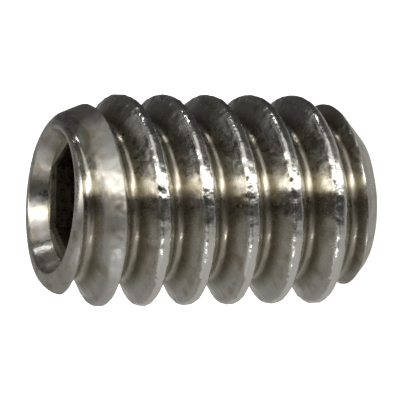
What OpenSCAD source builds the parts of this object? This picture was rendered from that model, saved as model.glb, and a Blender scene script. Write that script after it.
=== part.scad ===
// Grub set screw: a headless machine screw, one solid piece of threaded bar.
// It stands on its point end, with the thread axis on +Z and the hex socket up.
// Units are millimetres. Origin: centre of the point end face, at its lowest level.

/* [Thread] */
// Major diameter, over the thread crests
major_d = 4.82; // [4.6:0.02:6]
// Pitch, from one crest to the next
pitch = 1.058; // [0.85:0.001:1.27]
// Root rounding radius as a share of the pitch
root_share = 0.108; // [0.09:0.002:0.144]
// Turn of the thread about the axis, degrees
thread_turn = 222; // [0:1:360]

/* [Ends] */
// Overall length, end face to end face
length = 7.3; // [5.5:0.1:12]
// Width of the flat ring around the socket mouth
rim_land = 0.37; // [0.1:0.01:0.45]
// Angle between the socket-end chamfer and the axis
socket_chamfer = 20; // [15:1:45]
// Diameter of the flat point
point_d = 3.28; // [2.6:0.02:4]
// Angle between the point chamfer and the axis
point_chamfer = 42; // [25:1:45]

/* [Socket] */
// Width across flats of the hex socket
socket_af = 2.4; // [1.9:0.01:2.9]
// Depth of the socket flats below the end face
socket_depth = 3; // [1.5:0.05:3.6]
// Depth of the countersunk mouth
mouth_depth = 0.38; // [0.1:0.02:0.6]
// Width of the countersink beyond the hexagon's corners
mouth_margin = 0.25; // [0.1:0.01:0.32]
// Turn of the hexagon about the axis, degrees
socket_turn = 0; // [-30:1:30]

/* [Hidden] */

major_r = major_d / 2;
point_r = point_d / 2;
flat_r = socket_af / 2;
corner_r = socket_af / sqrt(3);
mouth_r = corner_r + mouth_margin;
seat_r = corner_r + 0.03; // the countersink ends on a narrow step around the hexagon
rim_r = mouth_r + rim_land;
socket_rise = (major_r - rim_r) / tan(socket_chamfer);
point_rise = (major_r - point_r) / tan(point_chamfer);
drill_angle = 118; // point angle of the drill that opens the socket
drill_r = flat_r - 0.02;
drill_rise = drill_r / tan(drill_angle / 2);

// 60 degree vee: the blank cuts its apex off to leave the crest flat, an eighth
// of the pitch wide, and a rounding that meets both flanks fills the root.
vee = pitch * sqrt(3) / 2;
apex_r = major_r + vee / 8;
root_round = pitch * root_share;
root_r = major_r - vee * 7 / 8 + root_round;

steps = 48;      // columns around one turn
root_facets = 4; // facets over the rounded root
profile_points = root_facets + 2;
turns = ceil(length / pitch) + 3;

// Profile point j, as [radius, height], counted up from the middle of a root.
function profile(j) =
    let (turn = floor(j / profile_points), i = j % profile_points,
         up = i <= root_facets / 2, n = up ? i : profile_points - i,
         a = 60 * n / (root_facets / 2),
         rise = root_round * sin(a))
    i == profile_points / 2
        ? [apex_r, (turn + 0.5) * pitch]
        : [root_r + root_round * (1 - cos(a)), (up ? turn : turn + 1) * pitch + (up ? rise : -rise)];

// Threaded bar, longer than the screw at both ends, as one closed skin. The last
// column joins the first one a whole turn further up, which closes the helix.
module threaded_bar() {
    low_z = -1.5 * pitch;
    top = turns * profile_points;
    rows = top + profile_points + 1;
    skin = [for (k = [0 : steps - 1], j = [0 : rows - 1])
        let (p = profile(j), a = 360 * k / steps)
        [p[0] * cos(a), p[0] * sin(a), low_z + p[1] + pitch * k / steps]];
    low = len(skin);
    high = low + 1;
    function at(k, j) = k < steps ? k * rows + j : j + profile_points;
    polyhedron(
        points = concat(skin, [[0, 0, low_z + pitch / 2], [0, 0, low_z + (turns + 0.5) * pitch]]),
        faces = concat(
            [for (k = [0 : steps - 1], j = [0 : top - 1]) each [
                [at(k, j), at(k, j + 1), at(k + 1, j + 1)],
                [at(k, j), at(k + 1, j + 1), at(k + 1, j)]]],
            [for (k = [0 : steps - 1]) each [
                [low, at(k, 0), at(k + 1, 0)],
                [high, at(k + 1, top), at(k, top)]]],
            [for (j = [0 : profile_points - 1]) each [
                [low, at(0, j + 1), at(0, j)],
                [high, at(0, top + j), at(0, top + j + 1)]]]),
        convexity = 10);
}

// Turned blank: both end faces, both chamfers and the diameter over the crests.
module blank() {
    rotate_extrude($fn = 96)
        polygon([
            [0, 0], [point_r, 0], [major_r, point_rise],
            [major_r, length - socket_rise], [rim_r, length], [0, length]]);
}

// Hex socket, its countersunk mouth and the cone that the drill leaves.
module socket() {
    translate([0, 0, length - socket_depth]) rotate([0, 0, socket_turn])
        cylinder(r = corner_r, h = socket_depth + 1, $fn = 6);
    translate([0, 0, length - mouth_depth])
        cylinder(r1 = seat_r, r2 = 2 * mouth_r - seat_r, h = 2 * mouth_depth, $fn = 96);
    // The drill's shank reaches up inside the hexagon, so that the two cuts join.
    translate([0, 0, length - socket_depth])
        rotate_extrude($fn = 96)
            polygon([[0, -drill_rise], [drill_r, 0], [drill_r, socket_depth / 2], [0, socket_depth / 2]]);
}

module set_screw() {
    color("silver") difference() {
        intersection() {
            rotate([0, 0, thread_turn]) threaded_bar();
            blank();
        }
        socket();
    }
}

set_screw();
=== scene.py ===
# %% [markdown]
# # Grub set screw
# A grub screw is a short piece of threaded stainless bar with no head. A hex
# key turns it from the socket in one end, and the flat point at the other end
# presses on whatever it locks. It is one piece of metal, so one mesh is made,
# and all of its character lies in the thread, the two turned ends and the wear.
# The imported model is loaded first, because the finished piece has to stand in
# its frame and keep its size.

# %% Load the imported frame
import math

import bmesh
import bpy
from mathutils import Matrix, Vector


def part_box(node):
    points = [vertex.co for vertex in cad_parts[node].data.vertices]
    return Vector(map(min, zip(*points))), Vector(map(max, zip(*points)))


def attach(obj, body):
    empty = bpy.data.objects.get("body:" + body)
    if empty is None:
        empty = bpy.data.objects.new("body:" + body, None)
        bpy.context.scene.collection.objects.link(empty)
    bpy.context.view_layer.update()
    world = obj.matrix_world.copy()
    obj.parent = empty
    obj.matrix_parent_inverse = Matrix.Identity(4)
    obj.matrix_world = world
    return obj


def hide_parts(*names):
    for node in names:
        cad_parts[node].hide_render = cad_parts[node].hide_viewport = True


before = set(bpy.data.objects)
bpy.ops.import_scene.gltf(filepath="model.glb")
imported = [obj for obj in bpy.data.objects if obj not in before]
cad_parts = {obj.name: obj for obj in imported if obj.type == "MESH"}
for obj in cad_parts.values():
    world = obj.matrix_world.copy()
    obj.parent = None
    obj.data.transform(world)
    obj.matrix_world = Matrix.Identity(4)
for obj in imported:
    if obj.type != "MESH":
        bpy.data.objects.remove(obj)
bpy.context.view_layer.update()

low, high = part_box("set_screw")
print("frame box in mm:", [round(v * 1000, 3) for v in (*low, *high)])

# %% [markdown]
# ## The thread's sizes
# The length and the diameter over the crests come from the frame. The rest
# follows the rules of a 60 degree thread, whose crests are flat and whose
# grooves are rounded at the bottom by the tool. A drawing gives the crest an
# eighth of the pitch, but rubbing has made it wider on a real screw. Lengths are
# in millimetres, as on a drawing, and `MM` turns them into the scene's metres.

# %% Sizes of the thread
MM = 0.001
LENGTH = high.z / MM
MAJOR_R = high.x / MM
PITCH = 1.058
FLANK_LEAN = math.radians(30)
THREAD_TURN = math.radians(222)  # where round the screw the crest meets the lower end
CREST_FLAT = PITCH * 0.19  # worn wider than the drawing's eighth
ROOT_ROUND = PITCH * 0.12  # radius at the bottom of the groove
SHARP_DEPTH = (PITCH - CREST_FLAT) / 2 / math.tan(FLANK_LEAN)  # down to where the flanks would meet
ROOT_R = MAJOR_R - SHARP_DEPTH + ROOT_ROUND
print("radius %.3f mm at the crest, %.3f mm at the root" % (MAJOR_R, ROOT_R))

# %% [markdown]
# ## Hands for modelling
# An operator acts on everything that is selected. So each step clears the
# selection first, and then picks its points, edges or faces by their place, as
# a hand would with the mouse. These helpers do that, and nothing else.

# %% Helpers for selecting
def deselect_everything():
    """Leaves edit mode and selects nothing, so that an operator acts only on what is chosen next."""
    if bpy.context.mode != "OBJECT":
        bpy.ops.object.mode_set(mode="OBJECT")
    bpy.ops.object.select_all(action="DESELECT")


def choose(piece):
    """Makes one piece the active and only selected object."""
    deselect_everything()
    bpy.context.view_layer.objects.active = piece
    piece.select_set(True)


def edit(piece, action="DESELECT"):
    """Opens one piece in edit mode, and returns its mesh for picking by place."""
    choose(piece)
    bpy.ops.object.mode_set(mode="EDIT")
    bpy.ops.mesh.select_all(action=action)
    return bmesh.from_edit_mesh(piece.data)


def pick(mesh, parts):
    """Selects only these vertices or edges of a mesh in edit mode."""
    for group in (mesh.faces, mesh.edges, mesh.verts):
        for part in group:
            part.select = False
    for part in parts:
        part.select_set(True)
    mesh.select_flush_mode()


# %% Helper for modifiers
def apply(piece, kind, **settings):
    """Adds a modifier with these settings and applies it."""
    choose(piece)
    modifier = piece.modifiers.new(kind.title(), kind)
    for name, value in settings.items():
        setattr(modifier, name, value)
    bpy.ops.object.modifier_apply(modifier=modifier.name)


# %% [markdown]
# ## One tooth
# A die gives every turn of a thread the same section, so only one tooth is
# drawn: root, flank, flat crest, flank, root. A small plane is merged to one
# point, and the point is extruded from corner to corner, as a line is drawn by
# hand. A curve would do as well, but a mesh keeps the same corners in every
# turn, and they can be bevelled by picking them.

# %% Draw one tooth
crest_start = (PITCH - CREST_FLAT) / 2
flank_start = crest_start - (MAJOR_R - ROOT_R) * math.tan(FLANK_LEAN)
tooth = [
    (ROOT_R, 0.0),
    (ROOT_R, flank_start),
    (MAJOR_R, crest_start),
    (MAJOR_R, PITCH - crest_start),
    (ROOT_R, PITCH - flank_start),
    (ROOT_R, PITCH),
]
deselect_everything()
bpy.ops.mesh.primitive_plane_add(size=MM, location=(ROOT_R * MM, 0, 0))
screw = bpy.context.object
screw.name = screw.data.name = "grub_screw"
bpy.ops.object.transform_apply(location=True, rotation=True, scale=True)
edit(screw, "SELECT")
bpy.ops.mesh.merge(type="CENTER")
for (r0, z0), (r1, z1) in zip(tooth, tooth[1:]):
    step = ((r1 - r0) * MM, 0, (z1 - z0) * MM)
    bpy.ops.mesh.extrude_vertices_move(TRANSFORM_OT_translate={"value": step})
print("drew the tooth with", len(tooth), "corners")

# %% [markdown]
# ## Soften the tooth
# No real edge is a perfect corner. A rounded crest catches the light as a thin
# line, which is most of what the eye reads as metal, and a rounded root is how
# the tool leaves it. The flanks get extra points, so that small dents have
# something to move later on.

# %% Round the crest and the root, and divide the flanks
CREST_SOFTNESS = 0.07  # how far the rounding of a crest corner reaches
HAIR = 0.01  # near enough to count as the same place
FLANK_CUTS = 11
LONG_EDGE = 0.3  # only the flanks are longer than this
ROOT_REACH = 0.97  # the share of the root's half width that its rounding takes

mesh = bmesh.from_edit_mesh(screw.data)
pick(mesh, [v for v in mesh.verts if v.co.x > (MAJOR_R - HAIR) * MM])
bpy.ops.mesh.bevel(offset=CREST_SOFTNESS * MM, segments=4, affect="VERTICES", clamp_overlap=False)

mesh = bmesh.from_edit_mesh(screw.data)
at_root = [v for v in mesh.verts if v.co.x < (ROOT_R + HAIR) * MM]
inner = [v for v in at_root if HAIR < v.co.z / MM < PITCH - HAIR]
pick(mesh, inner)
reach = flank_start * ROOT_REACH * MM
bpy.ops.mesh.bevel(offset=reach, segments=5, affect="VERTICES", clamp_overlap=False)

mesh = bmesh.from_edit_mesh(screw.data)
pick(mesh, [e for e in mesh.edges if e.calc_length() > LONG_EDGE * MM])
bpy.ops.mesh.subdivide(number_cuts=FLANK_CUTS)
mesh = bmesh.from_edit_mesh(screw.data)
form = sorted((v.co.z / MM, v.co.x / MM) for v in mesh.verts)
print("the rounded tooth has", len(form), "points")

# %% [markdown]
# ## Wind the thread
# The Screw modifier turns the tooth round Z and lifts it by one pitch a turn,
# which is just what a die does to the bar. It starts two pitches too low and
# ends too high, because the ends are turned to length afterwards. A Boolean of
# a coil and a cylinder would leave slivers all along the run-out.

# %% Wind the tooth into a thread
COLUMNS = 264  # divisions of one turn: 44 to each side of the hexagon
SPARE = 2  # turns below the lower end, and above the upper one
MERGE = 0.0005  # points closer than this are one
HALF_TOOTH = 0.5  # the crest is in the middle of a tooth

lift = -(THREAD_TURN / (2 * math.pi) + HALF_TOOTH + SPARE) * PITCH
bpy.ops.mesh.select_all(action="SELECT")
bpy.ops.transform.translate(value=(0, 0, lift * MM))
apply(
    screw, "SCREW", axis="Z", angle=2 * math.pi, screw_offset=PITCH * MM,
    iterations=math.ceil(LENGTH / PITCH) + 2 * SPARE, steps=COLUMNS, render_steps=COLUMNS,
    use_merge_vertices=False,
)
edit(screw, "SELECT")
bpy.ops.mesh.remove_doubles(threshold=MERGE * MM)
bpy.ops.object.mode_set(mode="OBJECT")
heights = [v.co.z / MM for v in screw.data.vertices]
print("wound %d points, from z = %.2f to %.2f mm" % (len(heights), min(heights), max(heights)))

# %% [markdown]
# ## Turn the ends
# Both ends are cut on a lathe before or after threading. The socket end has a
# shallow chamfer that rolls over at the rim, and the point has a steeper one.
# Both are a little off centre. A turned end is a limit on the radius: at each
# angle and height the surface is the thread or the chamfer, whichever is
# smaller. So the points are moved to that radius by a formula. It keeps the
# mesh's columns whole, and the run-out of the thread comes out by itself.

# %% What the die and the lathe leave
RIM_R, RIM_CHAMFER = 1.98, math.radians(20)
RIM_OFF, RIM_SIDE = 0.06, math.radians(190)  # the rim was turned off centre, to this side
RIM_ROLL, RIM_DROP = 0.26, 0.20  # it rolls over this far down, and inwards by this much
POINT_R, POINT_CHAMFER = 1.56, math.radians(47)
POINT_OFF, POINT_SIDE = 0.18, math.radians(205)
BURR = 0.06  # softness of the edge where a chamfer cuts the thread


def thread_r(angle, z):
    """Radius of the endless thread at this angle and height, read off the tooth."""
    h = (z - lift - PITCH * angle / (2 * math.pi)) % PITCH
    for (z0, r0), (z1, r1) in zip(form, form[1:]):
        if h <= z1:
            return r0 + (r1 - r0) * (h - z0) / (z1 - z0)
    return form[-1][1]


def soft_min(a, b, softness):
    """The smaller of two radii, with the corner between them rounded off."""
    near = max(softness - abs(a - b), 0) / softness
    return min(a, b) - near * near * softness / 4


def turned_r(angle, z):
    """Radius that the lathe leaves of the thread at this angle and height."""
    roll = min(max((z - LENGTH + RIM_ROLL) / RIM_ROLL, 0), 1)
    rim = RIM_R + RIM_OFF * math.cos(angle - RIM_SIDE) + (LENGTH - z) * math.tan(RIM_CHAMFER)
    rim -= RIM_DROP * (1 - math.sqrt(1 - roll * roll))
    point = POINT_R + POINT_OFF * max(math.cos(angle - POINT_SIDE), 0) + z * math.tan(POINT_CHAMFER)
    return soft_min(soft_min(thread_r(angle, z), rim, BURR), point, BURR)


def set_point(v, angle, r, z):
    """Puts a point of the mesh at this angle, radius and height."""
    v.co = Vector((r * math.cos(angle), r * math.sin(angle), z)) * MM


# %% Turn the thread down to the bar's length
END_BAND = 0.03  # plain band of the skin next to each end face
SLIVER = 0.0002  # faces narrower than this are dissolved

for v in screw.data.vertices:
    angle = math.atan2(v.co.y, v.co.x)
    z = min(max(v.co.z / MM, END_BAND), LENGTH - END_BAND)
    set_point(v, angle, turned_r(angle, z), z)
mesh = edit(screw, "SELECT")
bpy.ops.mesh.remove_doubles(threshold=MERGE * MM)
bpy.ops.mesh.dissolve_degenerate(threshold=SLIVER * MM)
mesh = bmesh.from_edit_mesh(screw.data)
print("turned to", len(mesh.verts), "points;", sum(e.is_boundary for e in mesh.edges), "edges still open")

# %% [markdown]
# ## Socket and end faces
# The socket is punched into the end after a countersink and a pilot drill: six
# walls down to a flat floor, and below it the drill's cone. Each open ring at an
# end is extruded again and again, and every new ring is set to the next corner
# of the section, as a turner works from the outside inwards. That gives a
# closed mesh with no Boolean, and the hexagon is only a ring whose radius
# changes with the angle.

# %% The section of the socket
SOCKET_AF, SOCKET_DEPTH = 2.40, 3.0
MOUTH_R, MOUTH_DEPTH = 1.6356, 0.38
HEX_EDGE = 0.006  # the hexagon's corners are hardly rounded
FLAT_R, CORNER_R = SOCKET_AF / 2, SOCKET_AF / math.sqrt(3)
SEAT_R = CORNER_R + 0.03  # the countersink ends just outside the hexagon's corners
DRILL_R = FLAT_R - 0.02  # the pilot drill is a little smaller than the hexagon
DRILL_RISE = DRILL_R / math.tan(math.radians(59))  # a drill's tip has an angle of 118 degrees
SEAT, FLOOR = LENGTH - MOUTH_DEPTH, LENGTH - SOCKET_DEPTH


def hexagon_r(angle):
    """Radius of the socket's wall. Two of its flats face +Y and -Y."""
    off = angle % (math.pi / 3) - math.pi / 6
    beside = math.pi / 3 - abs(off)
    return soft_min(FLAT_R / math.cos(off), FLAT_R / math.cos(beside), HEX_EDGE)


print("socket %.2f mm across flats, drilled to z = %.2f mm" % (SOCKET_AF, FLOOR - DRILL_RISE))

# %% Helpers for working inwards ring by ring
SOFT_RINGS = 4  # rings that round off one corner
SIDE_SHARE = 0.45  # a rounding takes at most this share of the lines beside it


def corner_at(corner, angle):
    """A corner of the section at this angle, as radius and height."""
    r, z = corner[:2]
    return Vector((r(angle) if callable(r) else r, z))


def rounded(before, corner, after, softness, share):
    """A point on the rounding of a corner, from its start at 0 to its end at 1."""
    shorter = min((before - corner).length, (after - corner).length)
    reach = min(softness, SIDE_SHARE * shorter)
    start = corner + (before - corner).normalized() * reach
    end = corner + (after - corner).normalized() * reach
    return start * (1 - share) ** 2 + corner * 2 * share * (1 - share) + end * share * share


def next_ring(piece, place):
    """Extrudes the picked ring and sets its points where place(angle) says."""
    bpy.ops.mesh.extrude_edges_move()
    mesh = bmesh.from_edit_mesh(piece.data)
    for v in mesh.verts:
        if v.select:
            angle = math.atan2(v.co.y, v.co.x)
            set_point(v, angle, *place(angle))
    bmesh.update_edit_mesh(piece.data)


def turn_end(piece, corners):
    """Closes the open edge at the first corner. A corner is a radius, a height and a softness."""
    mesh = edit(piece)
    start = corners[0][1] * MM
    pick(mesh, [e for e in mesh.edges if e.is_boundary and abs(e.verts[0].co.z - start) < MERGE * MM])
    for k in range(1, len(corners)):
        corner, softness = corners[k], corners[k][2]
        if softness == 0:
            next_ring(piece, lambda angle: corner_at(corner, angle))
            continue
        for i in range(SOFT_RINGS + 1):
            next_ring(piece, lambda angle: rounded(
                corner_at(corners[k - 1], angle), corner_at(corner, angle),
                corner_at(corners[k + 1], angle), softness, i / SOFT_RINGS))
    bpy.ops.mesh.merge(type="CENTER")


# %% Close the socket end and the point
RIM_SOFTNESS, MOUTH_SOFTNESS, SEAT_SOFTNESS, POINT_SOFTNESS = 0.03, 0.05, 0.012, 0.03
TIP = 0.1  # the last ring before a centre, as a share of the radius

turn_end(screw, [
    (lambda a: turned_r(a, LENGTH - END_BAND), LENGTH - END_BAND, 0),
    (lambda a: turned_r(a, LENGTH), LENGTH, RIM_SOFTNESS),
    (MOUTH_R, LENGTH, MOUTH_SOFTNESS),
    (SEAT_R, SEAT, 0),
    (hexagon_r, SEAT, SEAT_SOFTNESS),
    (hexagon_r, FLOOR, 0),
    (DRILL_R, FLOOR, 0),
    (DRILL_R * TIP, FLOOR - DRILL_RISE * (1 - TIP), 0),
])
turn_end(screw, [
    (lambda a: turned_r(a, END_BAND), END_BAND, 0),
    (lambda a: turned_r(a, 0), 0, POINT_SOFTNESS),
    (POINT_R / 2, 0, 0),
    (POINT_R * TIP, 0, 0),
])
mesh = bmesh.from_edit_mesh(screw.data)
print("closed:", sum(not e.is_manifold for e in mesh.edges), "open or crowded edges")

# %% [markdown]
# ## The end face leans
# The bar was parted off by hand or by a worn tool, so the socket end isn't
# quite square to the axis. The skin near that end is sheared a little, fading
# out a millimetre down. The normals are then made to point outwards, because
# the rings at the two ends were extruded in opposite directions.

# %% Lean the end face and face everything outwards
LEAN, LEAN_REACH = 0.055, 1.0  # slope of the end face, and how far down the skin follows it
LEAN_RISE = 0.03  # what the middle of the face rises by
CORNER = math.radians(42)  # a bend sharper than this stays a hard edge

deselect_everything()
for v in screw.data.vertices:
    near = min(max(v.co.z / MM - LENGTH + LEAN_REACH, 0) / LEAN_REACH, 1)
    v.co.z += near * near * (LEAN_RISE * MM - LEAN * v.co.x)
mesh = edit(screw, "SELECT")
bpy.ops.mesh.normals_make_consistent(inside=False)
mesh = bmesh.from_edit_mesh(screw.data)
print("volume %.2f mm3, %d faces" % (mesh.calc_volume() / MM ** 3, len(mesh.faces)))
choose(screw)
bpy.ops.object.shade_smooth_by_angle(angle=CORNER)

# %% [markdown]
# ## Burrs and dents
# Screws are tumbled and shipped loose, so their crests get nicked and their
# flanks are slightly uneven. Two Displace modifiers with cloud textures move
# the skin by a few hundredths of a millimetre, each only where its vertex group
# lets it. Real dents, and not only bump, are needed here, because the crests
# stand against the background and show their outline.

# %% Mark where the skin may be uneven
NICKED, NICK_FADE = 0.26, 0.18  # nicks reach this far below the crest, and fade in over this much
UNDER_ROOT = 0.15  # the skin ends this far below the root, so the socket is left alone
LOW_END, TOP_END = 0.30, 0.05  # plain metal next to the point and to the rim
weights = {"crest_edge": {}, "skin": {}}
for v in screw.data.vertices:
    r, z = math.hypot(v.co.x, v.co.y) / MM, v.co.z / MM
    if r > ROOT_R - UNDER_ROOT and LOW_END < z < LENGTH - TOP_END:
        weights["skin"][v.index] = 1.0
        weights["crest_edge"][v.index] = min(max((r - MAJOR_R + NICKED) / NICK_FADE, 0), 1)
for name, share in weights.items():
    group = screw.vertex_groups.new(name=name)
    for index, weight in share.items():
        if weight > 0:
            group.add([index], weight, "REPLACE")
    print(name, "holds", sum(weight > 0 for weight in share.values()), "points")

# %% Nick the crests and dent the flanks
DAMAGE = (
    # name, size of one mark in mm, depth in mm, where
    ("burrs", 0.17, 0.028, "crest_edge"),
    ("dents", 0.42, 0.017, "skin"),
)
for name, size, depth, group in DAMAGE:
    noise = bpy.data.textures.new(name, "CLOUDS")
    noise.noise_scale = size * MM
    noise.noise_depth = 1
    apply(
        screw, "DISPLACE", texture=noise, texture_coords="LOCAL", strength=depth * MM,
        mid_level=0.5, vertex_group=group,
    )
screw.vertex_groups.clear()
reach = max(math.hypot(v.co.x, v.co.y) for v in screw.data.vertices) / MM
print("the skin now reaches", round(reach, 3), "mm out")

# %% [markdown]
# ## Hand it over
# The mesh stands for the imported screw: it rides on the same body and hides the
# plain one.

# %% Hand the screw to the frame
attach(screw, "root")
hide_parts("set_screw")
print("grub_screw stands for set_screw")

# %% [markdown]
# ## Tools for materials
# Colours are picked as the eye sees them, in sRGB, and a shader counts light, so
# one function turns the first into the second. A second one adds a node with
# its settings and its links in a single line, which keeps a tree readable.

# %% Helpers for materials
def linear(colour):
    """Turns an sRGB hex colour such as "#C9C4B8" into the linear values that a shader takes."""
    values = [int(colour[i : i + 2], 16) / 255 for i in (1, 3, 5)]
    return [v / 12.92 if v <= 0.04045 else ((v + 0.055) / 1.055) ** 2.4 for v in values] + [1.0]


def add_node(tree, kind, inputs=None, **settings):
    """Adds one node. Each input is given a value, or another node's output that it is linked to."""
    node = tree.nodes.new("ShaderNode" + kind)
    for name, value in settings.items():
        setattr(node, name, value)
    for name, value in (inputs or {}).items():
        if isinstance(value, bpy.types.NodeSocket):
            tree.links.new(value, node.inputs[name])
        else:
            node.inputs[name].default_value = value
    return node


def empty_tree(holder):
    """Gives a material or a world an empty node tree."""
    holder.use_nodes = True
    holder.node_tree.nodes.clear()
    return holder.node_tree


print("warm grey in linear light:", [round(v, 3) for v in linear("#C9C4B8")])

# %% [markdown]
# ## Stainless steel
# Small screws of this kind are of 18-8 stainless steel. The bar is drawn, the
# thread is cut or rolled by a die, and the ends are turned. That gives the eye
# a slightly warm grey metal with fine marks that run round the axis, so the
# highlights stretch along it. The crests are rubbed bright, and the grooves keep a
# thin brown film of oil and oxide. Over that film, the grooves' colour carries
# painted shade on the lower flanks and a painted highlight along each root, and
# the socket is painted dark as shade.
#
# First the tree works out where a point lies on the screw, in millimetres: its
# distance from the axis, its heading and its height.

# %% Where a point lies on the screw
steel = bpy.data.materials.new("stainless_steel_machined")
tree = empty_tree(steel)
place = add_node(tree, "TexCoord").outputs["Object"]
mm = add_node(tree, "VectorMath", {0: place, 1: (1 / MM,) * 3}, operation="MULTIPLY").outputs[0]
axes = add_node(tree, "SeparateXYZ", {0: mm}).outputs
height = axes["Z"]
level = add_node(tree, "CombineXYZ", {"X": axes["X"], "Y": axes["Y"]}).outputs[0]
radius = add_node(tree, "VectorMath", {0: level}, operation="LENGTH").outputs["Value"]
heading = add_node(tree, "VectorMath", {0: level}, operation="NORMALIZE").outputs[0]
print("the steel's tree starts with", len(tree.nodes), "nodes")

# %% [markdown]
# ### Crests, grooves, rim and socket
# Each zone is a mask between 0 and 1, made from the radius and the height. The
# steps are smooth, because wear, dirt and painted shade fade out. The chamfer at the rim is a
# cone, so it is found by adding to the radius what the cone loses with height.

# %% Masks of the zones
RUBBED = (0.16, 0.04)  # the polish starts this far below the crest, and is full here
FILM_AND_SHADE = (0.36, 0.08)  # the film and its painted shade start this far above the root, and are full here
# Along the bottom of each root the colour turns lighter: a painted highlight.
ROOT_HIGHLIGHT = (0.07, 0.01)
CLEAN_RIM = (0.22, 0.36)  # the film and its painted shade start between these distances from the rim
CLEAN_POINT = (0.25, 0.50)  # and between these from the point
FACED = (0.13, 0.04)  # how far under the chamfer's cone a point still counts as turned
cone_r = RIM_R + LENGTH * math.tan(RIM_CHAMFER)

crest = add_node(
    tree, "MapRange", {0: radius, 1: MAJOR_R - RUBBED[0], 2: MAJOR_R - RUBBED[1]},
    interpolation_type="SMOOTHSTEP").outputs[0]
low_down = add_node(
    tree, "MapRange", {0: radius, 1: ROOT_R + FILM_AND_SHADE[0], 2: ROOT_R + FILM_AND_SHADE[1]},
    interpolation_type="SMOOTHSTEP").outputs[0]
painted_root_highlight = add_node(
    tree, "MapRange", {0: radius, 1: ROOT_R + ROOT_HIGHLIGHT[0], 2: ROOT_R + ROOT_HIGHLIGHT[1]},
    interpolation_type="SMOOTHSTEP").outputs[0]
off_rim = add_node(
    tree, "MapRange", {0: height, 1: LENGTH - CLEAN_RIM[0], 2: LENGTH - CLEAN_RIM[1]}).outputs[0]
off_point = add_node(
    tree, "MapRange", {0: height, 1: CLEAN_POINT[0], 2: CLEAN_POINT[1]}).outputs[0]
off_ends = add_node(tree, "Math", {0: off_rim, 1: off_point}, operation="MULTIPLY").outputs[0]
groove = add_node(tree, "Math", {0: low_down, 1: off_ends}, operation="MULTIPLY").outputs[0]
on_cone = add_node(
    tree, "Math", {0: height, 1: math.tan(RIM_CHAMFER), 2: radius}, operation="MULTIPLY_ADD").outputs[0]
faced = add_node(
    tree, "MapRange", {0: on_cone, 1: cone_r - FACED[0], 2: cone_r - FACED[1]},
    interpolation_type="SMOOTHSTEP").outputs[0]

# %% Masks of the mouth and the socket
LOWEST = 1.0  # the point's end face lies below this height, and all of the socket above it
SHADE_FROM = 0.12  # the socket's walls are painted dark as shade from this far below its seat
SPARE_R = 0.02  # what is added to a radius, so that a mask doesn't end right on the metal
above = add_node(tree, "Math", {0: height, 1: LOWEST}, operation="GREATER_THAN").outputs[0]
below = add_node(tree, "Math", {0: height, 1: SEAT - SHADE_FROM}, operation="LESS_THAN").outputs[0]
in_mouth = add_node(tree, "Math", {0: radius, 1: MOUTH_R + SPARE_R}, operation="LESS_THAN").outputs[0]
mouth = add_node(tree, "Math", {0: in_mouth, 1: above}, operation="MULTIPLY").outputs[0]
inside = add_node(tree, "Math", {0: radius, 1: CORNER_R + SPARE_R}, operation="LESS_THAN").outputs[0]
deep = add_node(tree, "Math", {0: above, 1: below}, operation="MULTIPLY").outputs[0]
socket = add_node(tree, "Math", {0: inside, 1: deep}, operation="MULTIPLY").outputs[0]
print("with its zones the tree has", len(tree.nodes), "nodes")

# %% [markdown]
# ### Marks of making and use
# A die leaves lines round the axis about 0.02 to 0.03 mm apart. That is too
# fine to show at this size, so they are drawn 0.07 mm apart. They are a noise
# in four dimensions: stretched along the heading, and fine in height and in
# radius, so that they follow the flanks too. Pits of about 0.12 mm, dents of
# 0.3 mm and stains of 0.4 mm are plain noises on the place.

# %% Tool marks, pits, dents and stains
MARKS_PER_MM = 14.0
MARK_LENGTH = 2.2  # changes along half a turn
PIT, DENT, STAIN = 0.125, 0.3125, 0.4167  # sizes of the plain marks in mm
heading_axes = add_node(tree, "SeparateXYZ", {0: heading}).outputs
long_x = add_node(tree, "Math", {0: heading_axes["X"], 1: MARK_LENGTH}, operation="MULTIPLY").outputs[0]
long_y = add_node(tree, "Math", {0: heading_axes["Y"], 1: MARK_LENGTH}, operation="MULTIPLY").outputs[0]
fine_z = add_node(tree, "Math", {0: height, 1: MARKS_PER_MM}, operation="MULTIPLY").outputs[0]
fine_r = add_node(tree, "Math", {0: radius, 1: MARKS_PER_MM}, operation="MULTIPLY").outputs[0]
around = add_node(tree, "CombineXYZ", {"X": long_x, "Y": long_y, "Z": fine_z}).outputs[0]
tool_marks = add_node(
    tree, "TexNoise", {"Vector": around, "W": fine_r, "Scale": 1.0, "Detail": 3.0},
    noise_dimensions="4D").outputs[0]
pits = add_node(
    tree, "TexNoise", {"Vector": mm, "Scale": 1 / PIT, "Detail": 1.0, "Roughness": 0.5}).outputs[0]
dents = add_node(tree, "TexNoise", {"Vector": mm, "Scale": 1 / DENT, "Detail": 2.0}).outputs[0]
stains = add_node(
    tree, "TexNoise", {"Vector": mm, "Scale": 1 / STAIN, "Detail": 4.0, "Roughness": 0.6}).outputs[0]
print("with its marks the tree has", len(tree.nodes), "nodes")

# %% [markdown]
# ### Colour
# A metal's colour is the tint of its reflections. It goes from the inside out:
# clean steel, stains, the film in the grooves with painted shade on the lower
# flanks and a painted highlight along each root, the rubbed crests over it, and
# the socket's painted shade last.

# %% Layers of colour
CLEAN, STAINED = 0.48, 0.74  # the stains' noise is clean up to here, and fully stained from here
stained = add_node(tree, "MapRange", {0: stains, 1: CLEAN, 2: STAINED}).outputs[0]
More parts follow.
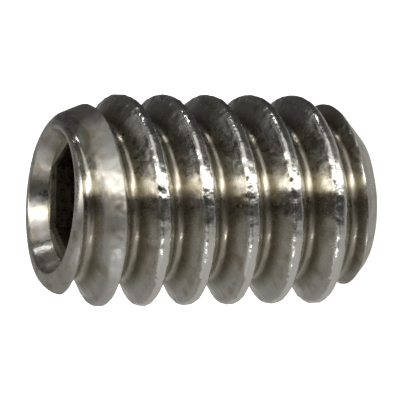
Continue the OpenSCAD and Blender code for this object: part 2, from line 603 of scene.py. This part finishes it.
# The grooves' colour: the brown film, darkened as painted shade on the lower flanks, and lighter along the
# bottom of each root as a painted highlight.
film_shade_and_highlight = add_node(
    tree, "Mix", {0: painted_root_highlight, 6: linear("#908978"), 7: linear("#B0AA9C")}, data_type="RGBA").outputs[2]
layers = (
    # where, what lies there
    (stained, linear("#A3957C")),
    (groove, film_shade_and_highlight),
    (crest, linear("#DAD8D3")),
    # painted shade inside the socket
    (socket, linear("#6A6253")),
)
colour = linear("#CBC9C3")
for where, tint in layers:
    colour = add_node(tree, "Mix", {0: where, 6: colour, 7: tint}, data_type="RGBA").outputs[2]
print("colour has", len(layers) + 1, "layers")

# %% [markdown]
# ### Gloss and relief
# The roughness varies with the pits, and rises a little where the film lies and
# more where a tool has faced the metal. The relief is strongest on the crests,
# where the nicks are. Anisotropy is set for marks that run round the Z axis. Metal keeps
# the shader's own index of refraction, because its tint already says it all.

# %% Roughness, relief and shader
PLAIN_ROUGHNESS, PIT_ROUGHNESS = 0.06, 0.34
FILM_ROUGHNESS, FACED_ROUGHNESS = 0.08, 0.28
RELIEF = 0.009  # height of the relief in mm
MARK_SHARE, DENT_SHARE = 0.35, 1.2  # heights of the tool marks and the dents, where pits are 1
FLANK_SHARE, CREST_SHARE = 0.35, 1.2  # how much of the relief the flanks have, and what crests add
RELIEF_STRENGTH = 0.7
GRAIN = 0.75  # how much the highlights stretch across the marks
QUARTER_TURN = 0.25  # turns the stretch from along the marks to across them

roughness = add_node(
    tree, "Math", {0: pits, 1: PIT_ROUGHNESS, 2: PLAIN_ROUGHNESS}, operation="MULTIPLY_ADD").outputs[0]
dull = add_node(tree, "Math", {0: groove, 1: mouth}, operation="MAXIMUM").outputs[0]
for where, extra in ((dull, FILM_ROUGHNESS), (faced, FACED_ROUGHNESS)):
    roughness = add_node(
        tree, "Math", {0: where, 1: extra, 2: roughness}, operation="MULTIPLY_ADD").outputs[0]

marks = add_node(
    tree, "Math", {0: tool_marks, 1: MARK_SHARE, 2: pits}, operation="MULTIPLY_ADD").outputs[0]
rise = add_node(tree, "Math", {0: dents, 1: DENT_SHARE, 2: marks}, operation="MULTIPLY_ADD").outputs[0]
strength = add_node(
    tree, "Math", {0: crest, 1: CREST_SHARE, 2: FLANK_SHARE}, operation="MULTIPLY_ADD").outputs[0]
rise = add_node(tree, "Math", {0: rise, 1: strength}, operation="MULTIPLY").outputs[0]
bump = add_node(
    tree, "Bump", {"Strength": RELIEF_STRENGTH, "Distance": RELIEF * MM, "Height": rise}).outputs[0]
grain = add_node(tree, "Tangent", direction_type="RADIAL", axis="Z").outputs[0]
shader = add_node(tree, "BsdfPrincipled", {
    "Base Color": colour, "Metallic": 1.0, "Roughness": roughness, "Normal": bump,
    "Anisotropic": GRAIN, "Anisotropic Rotation": QUARTER_TURN, "Tangent": grain,
})
add_node(tree, "OutputMaterial", {"Surface": shader.outputs[0]})
screw.data.materials.append(steel)
print("the finished steel has", len(tree.nodes), "nodes")

# %% [markdown]
# ## Camera
# The screw stands on its point in this frame, and is looked at as if it lay on
# its side, so the camera is turned with its top towards the side of the screw.
# A long lens from close above the socket end shows both the socket and the
# whole length of the thread.

# %% Camera
AIM = Vector((0, 0, 3.556)) * MM
TURN, TILT, ROLL = math.radians(4), math.radians(20.87), math.radians(-0.267)
DISTANCE, VIEW_ANGLE = 79.5, math.radians(6.61)

front = Vector((math.sin(TURN), -math.cos(TURN), 0))
side = Vector((math.cos(TURN), math.sin(TURN), 0))
top = Vector((0, 0, 1))
back = front * math.cos(TILT) + top * math.sin(TILT)
right = (back * back.dot(top) - top).normalized()
up = back.cross(right)
right, up = right * math.cos(ROLL) + up * math.sin(ROLL), up * math.cos(ROLL) - right * math.sin(ROLL)
deselect_everything()
bpy.ops.object.camera_add()
camera = bpy.context.object
turned = Matrix((right, up, back)).transposed().to_4x4()
camera.matrix_world = Matrix.Translation(AIM + back * DISTANCE * MM) @ turned
camera.data.angle = VIEW_ANGLE
camera.data.shift_x, camera.data.shift_y = -0.0170, -0.0004
camera.data.clip_start, camera.data.clip_end = 5 * MM, 10000 * MM
bpy.context.scene.camera = camera
print("camera at", [round(v / MM, 1) for v in camera.location], "mm")

# %% [markdown]
# ## Floor
# The screw stands on white paper. The paper glows for the camera and for
# reflections, which keeps it white without more light on the metal, and the matt
# part of it takes the screw's shadow.

# %% White paper
PAPER_GLOW, PAPER_SIZE = 0.8, 2  # the size is in metres


def straight_seen(tree):
    """Is 1 for a ray from the camera, from a mirror or through glass, and 0 for light that is scattered."""
    rays = add_node(tree, "LightPath").outputs
    seen = rays["Is Camera Ray"]
    for kind in ("Is Glossy Ray", "Is Transmission Ray"):
        seen = add_node(tree, "Math", {0: seen, 1: rays[kind]}, operation="MAXIMUM").outputs[0]
    return seen


bpy.ops.mesh.primitive_plane_add(size=PAPER_SIZE)
floor = bpy.context.object
floor.name = "floor"
paper = bpy.data.materials.new("white_paper")
tree = empty_tree(paper)
light = (PAPER_GLOW,) * 3 + (1,)
glow = add_node(tree, "Emission", {"Color": light, "Strength": straight_seen(tree)}).outputs[0]
matt = add_node(tree, "BsdfDiffuse", {"Color": linear("#E8E8E6")}).outputs[0]
both = add_node(tree, "AddShader", {0: glow, 1: matt}).outputs[0]
add_node(tree, "OutputMaterial", {"Surface": both})
floor.data.materials.append(paper)
print("floor is", round(floor.dimensions.x, 2), "m wide")

# %% [markdown]
# ## Studio for the reflections
# Polished metal shows its surroundings more than itself, so a product studio
# puts white and black cards round it. Here a narrow bright window stands next to
# the camera, with black on both sides of it and grey further round. The cards
# are one pattern of brightness that goes round the screw, once on a disc that
# lies on the paper and once on a tent far away. Only reflections see them, so
# they neither hide the floor nor light it. They lean, because the real cards
# weren't square to the screw.

# %% Pattern of the cards
STUDIO_LEAN = math.radians(25.9)
WINDOW = 4.3  # how bright the window is
LAMPLIGHT = (1.0, 0.985, 0.94)
across = front * math.cos(STUDIO_LEAN) + top * math.sin(STUDIO_LEAN)


def tinted(level):
    """A card's colour: a share of the window's brightness in lamplight."""
    return [level / WINDOW * part for part in LAMPLIGHT] + [1.0]


def cards_round_the_screw(tree, direction, cards):
    """The cards' colour in a direction, by its angle in degrees: 0 is the camera's side, 90 is +X."""
    a = add_node(tree, "VectorMath", {0: direction, 1: side}, operation="DOT_PRODUCT").outputs["Value"]
    b = add_node(tree, "VectorMath", {0: direction, 1: across}, operation="DOT_PRODUCT").outputs["Value"]
    turn = add_node(tree, "Math", {0: a, 1: b}, operation="ARCTAN2").outputs[0]
    share = add_node(tree, "MapRange", {0: turn, 1: -math.pi, 2: math.pi}).outputs[0]
    ramp = add_node(tree, "ValToRGB", {0: share})
    points = ramp.color_ramp.elements
    points.remove(points[0])
    for k, (angle, brightness) in enumerate(cards):
        point = points[0] if k == 0 else points.new(angle / 360 + 0.5)
        point.position = angle / 360 + 0.5
        point.color = tinted(brightness)
    return ramp.outputs["Color"]


def show_to_reflections(thing, paint, colour):
    """Gives the thing a glowing paint that only reflections see."""
    tree = paint.node_tree
    glow = add_node(tree, "Emission", {"Color": colour, "Strength": WINDOW}).outputs[0]
    add_node(tree, "OutputMaterial", {"Surface": glow})
    paint.cycles.emission_sampling = "NONE"
    thing.data.materials.append(paint)
    thing.visible_camera = thing.visible_diffuse = False
    thing.visible_shadow = thing.visible_transmission = False


print("the window is", WINDOW, "times as bright as white paper")

# %% Cards on the paper
FLOOR_CARDS = [
    (-180, 0.42), (-120, 0.45), (-95, 0.5), (-50, 0.5), (-30, 0.40), (-17, 0.08),
    (-5, 0.05), (2, 0.08), (11, 0.8), (17.5, WINDOW), (25.0, WINDOW), (31, 0.6),
    (42, 0.12), (75, 0.05), (100, 0.04), (125, 0.05), (160, 0.12), (180, 0.4),
]
DISC_R, DISC_Z = 400, 0.02  # the disc lies just above the paper
NEAR, FAR = 2.4, 4.2  # under the screw the disc is plain grey, and the cards begin further out
NEAR_GREY = 0.42
bpy.ops.mesh.primitive_circle_add(
    vertices=96, radius=DISC_R * MM, fill_type="NGON", location=(0, 0, DISC_Z * MM))
disc = bpy.context.object
disc.name = "studio_cards"
bpy.ops.object.transform_apply(location=True)
card = bpy.data.materials.new("painted_card")
tree = empty_tree(card)
place = add_node(tree, "TexCoord").outputs["Object"]
away = add_node(tree, "VectorMath", {0: place}, operation="LENGTH").outputs["Value"]
outside = add_node(tree, "MapRange", {0: away, 1: NEAR * MM, 2: FAR * MM}).outputs[0]
pattern = cards_round_the_screw(tree, place, FLOOR_CARDS)
shade = add_node(tree, "Mix", {0: outside, 6: tinted(NEAR_GREY), 7: pattern}, data_type="RGBA").outputs[2]
show_to_reflections(disc, card, shade)
print("disc of cards", round(disc.dimensions.x / MM), "mm across")

# %% Tent round the screw
TENT_CARDS = [
    (-180, 0.30), (-120, 0.30), (-95, 0.24), (-50, 0.20), (-28, 0.14), (-17, 0.05),
    (-5, 0.035), (2, 0.08), (11, 0.8), (17.5, WINDOW), (25.0, WINDOW), (31, 0.8),
    (42, 0.16), (75, 0.11), (100, 0.08), (125, 0.06), (150, 0.06), (180, 0.30),
]
TENT_R = 500
bpy.ops.mesh.primitive_uv_sphere_add(segments=64, ring_count=32, radius=TENT_R * MM)
tent = bpy.context.object
tent.name = "studio_tent"
cloth = bpy.data.materials.new("tent_cloth")
tree = empty_tree(cloth)
place = add_node(tree, "TexCoord").outputs["Object"]
show_to_reflections(tent, cloth, cards_round_the_screw(tree, place, TENT_CARDS))
print("tent", round(tent.dimensions.x, 2), "m across")

# %% [markdown]
# ## Room
# Outside the tent the room is plain: white where it is seen or reflected, and a
# quiet grey for the light that it scatters on the paper.

# %% Room
ROOM_GREY, ROOM_WHITE = (0.4, 0.4, 0.4, 1), (1, 1, 1, 1)
world = bpy.data.worlds.new("plain_room")
bpy.context.scene.world = world
tree = empty_tree(world)
grey = add_node(tree, "Background", {"Color": ROOM_GREY}).outputs[0]
white = add_node(tree, "Background", {"Color": ROOM_WHITE}).outputs[0]
mix = add_node(tree, "MixShader", {0: straight_seen(tree), 1: grey, 2: white}).outputs[0]
add_node(tree, "OutputWorld", {"Surface": mix})
bpy.context.scene.view_settings.view_transform = "Standard"
print("room is white to the eye, and", ROOM_GREY[0], "to the paper")

# %% [markdown]
# ## Lamps
# Three soft boxes model the metal: the key on the +X side, one high up at the
# back, and a broad weak one on the -X side. Two narrow strips each put a small
# glint on every crest. The top light only lights the paper and casts the soft
# shadow, so it is kept out of the reflections.

# %% Lamps
def add_lamp(name, azimuth, elevation, distance, width, tall, watts, reflected):
    """Adds a flat soft lamp, in mm, that faces the screw. The azimuth goes from the camera towards +X."""
    azimuth, elevation = math.radians(azimuth), math.radians(elevation)
    level = front * math.cos(azimuth) + side * math.sin(azimuth)
    aim = level * math.cos(elevation) + top * math.sin(elevation)
    bpy.ops.object.light_add(type="AREA", location=AIM + aim * distance * MM)
    lamp = bpy.context.object
    lamp.name = name
    lamp.rotation_euler = aim.to_track_quat("Z", "Y").to_euler()
    lamp.data.shape = "RECTANGLE"
    lamp.data.size, lamp.data.size_y = width * MM, tall * MM
    lamp.data.energy = watts
    lamp.visible_glossy = reflected
    print(name, "is as bright as", round(watts / (math.pi * width * tall * MM * MM), 2))


add_lamp("key_softbox", 52, 25, 100, 80, 75, 0.013, True)
add_lamp("back_softbox", 134, 62, 100, 60, 60, 0.0022, True)
add_lamp("high_strip", 94, 18, 100, 4, 36, 0.0055, True)
add_lamp("low_strip", -61, 22, 100, 4, 36, 0.0050, True)
add_lamp("fill_softbox", -72, 30, 100, 100, 100, 0.010, True)
add_lamp("top_light", 20, 80, 120, 60, 60, 0.10, False)
